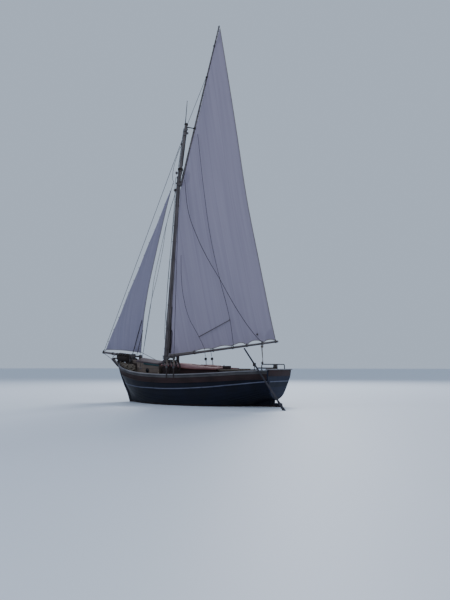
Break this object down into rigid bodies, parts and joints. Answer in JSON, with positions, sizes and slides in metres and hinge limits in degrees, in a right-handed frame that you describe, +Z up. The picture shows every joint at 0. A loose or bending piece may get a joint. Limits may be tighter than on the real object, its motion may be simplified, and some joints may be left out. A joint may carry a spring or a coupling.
{
  "type": "gaff-rigged wooden sailing launch",
  "caption": "Beamy wooden sailing launch with a transom stern, trunk cabin, fore cuddy, bowsprit, jib and a very high-peaked gaff mainsail, that carries people and goods inshore.",
  "frame": {"origin": "amidships on the centreline, at the height of the water surface the boat floats on", "axes": "+X to the bow, +Y to port, +Z up"},
  "size_m": [9.0028, 2.8572, 15.167],
  "materials": {
    "navy_planking": "weathered dark oil paint on planking",
    "brown_paint": "worn dark brown paint",
    "grey_wood": "bare weathered hardwood",
    "pale_line": "scuffed pale paint",
    "deck_wood": "worn deck planks",
    "red_roof": "faded red-brown deck paint",
    "tan_paint": "flat tan paint",
    "teal_edge": "worn blue-green paint",
    "spar_wood": "oiled round spars",
    "iron": "galvanised iron gone dark with rust",
    "sailcloth": "off-white sailcloth",
    "rope": "laid rope and served wire"
  },
  "bodies": {
    "hull": {"hull": "navy_planking", "deck": "deck_wood", "keel": "navy_planking", "sternpost": "navy_planking", "stem": "navy_planking", "bulwark_port": "grey_wood", "bulwark_starboard": "grey_wood", "cap_rail_port": "grey_wood", "cap_rail_starboard": "grey_wood", "wale_port": "brown_paint", "wale_starboard": "brown_paint", "stripe_port": "pale_line", "stripe_starboard": "pale_line", "transom": "navy_planking", "taffrail": "grey_wood", "stripe_transom": "pale_line", "cabin_trunk": "brown_paint", "cabin_roof": "red_roof", "hatch_runner_port": "brown_paint", "hatch_runner_starboard": "brown_paint", "aft_trunk": "brown_paint", "aft_trunk_top": "deck_wood", "well_coaming": "brown_paint", "well_bench": "deck_wood", "cuddy": "tan_paint", "cuddy_roof": "teal_edge", "fore_box": "tan_paint", "windlass_bitts": "grey_wood", "bowsprit_bitt": "grey_wood", "bowsprit": "spar_wood", "beak": "spar_wood", "bowsprit_band": "iron", "bobstay": "rope", "mast": "spar_wood", "mast_cap": "iron", "hounds": "iron", "forestay": "rope", "shroud_port_fore": "rope", "shroud_port_aft": "rope", "shroud_starboard_fore": "rope", "shroud_starboard_aft": "rope", "fife_rail": "grey_wood", "stern_guard": "iron", "rowlock_socket": "iron", "boom_saddle": "grey_wood"},
    "rudder_and_tiller": {"rudder": "navy_planking", "rudder_head": "grey_wood", "tiller": "spar_wood"},
    "main_spars": {"boom": "spar_wood", "gaff": "spar_wood", "mainsail": "sailcloth"},
    "headsail": {"jib": "sailcloth"},
    "sweep": {"sweep_crutch": "iron", "sweep": "spar_wood"},
    "windlass": {"windlass_barrel": "grey_wood"},
    "hatch": {"sliding_hatch": "red_roof"}
  },
  "joints": [
    {"name": "rudder_hinge", "type": "hinge", "parent": "hull", "child": "rudder_and_tiller", "pos_m": [-3.3, 0, -0.85], "axis": [-0.0621, 0, 0.9981], "range_deg": [-35, 35]},
    {"name": "boom_swing", "type": "hinge", "parent": "hull", "child": "main_spars", "pos_m": [1.215, 0, 0.77], "axis": [-0.0764, 0, 0.9971], "range_deg": [-38, 38]},
    {"name": "jib_swing", "type": "hinge", "parent": "hull", "child": "headsail", "pos_m": [4.18, 0, 2.01], "axis": [-0.4582, 0, 0.8888], "range_deg": [-25, 25]},
    {"name": "sweep_swing", "type": "hinge", "parent": "hull", "child": "sweep", "pos_m": [-3.112, 0.905, 1.42], "axis": [0, 0, -1], "range_deg": [0, 30]},
    {"name": "windlass_turn", "type": "hinge", "parent": "hull", "child": "windlass", "pos_m": [2.62, 0, 1.5], "axis": [0, 1, 0], "continuous": true},
    {"name": "hatch_slide", "type": "slide", "parent": "hull", "child": "hatch", "axis": [0.996, 0, 0.0889], "range_m": [0, 0.48]}
  ]
}
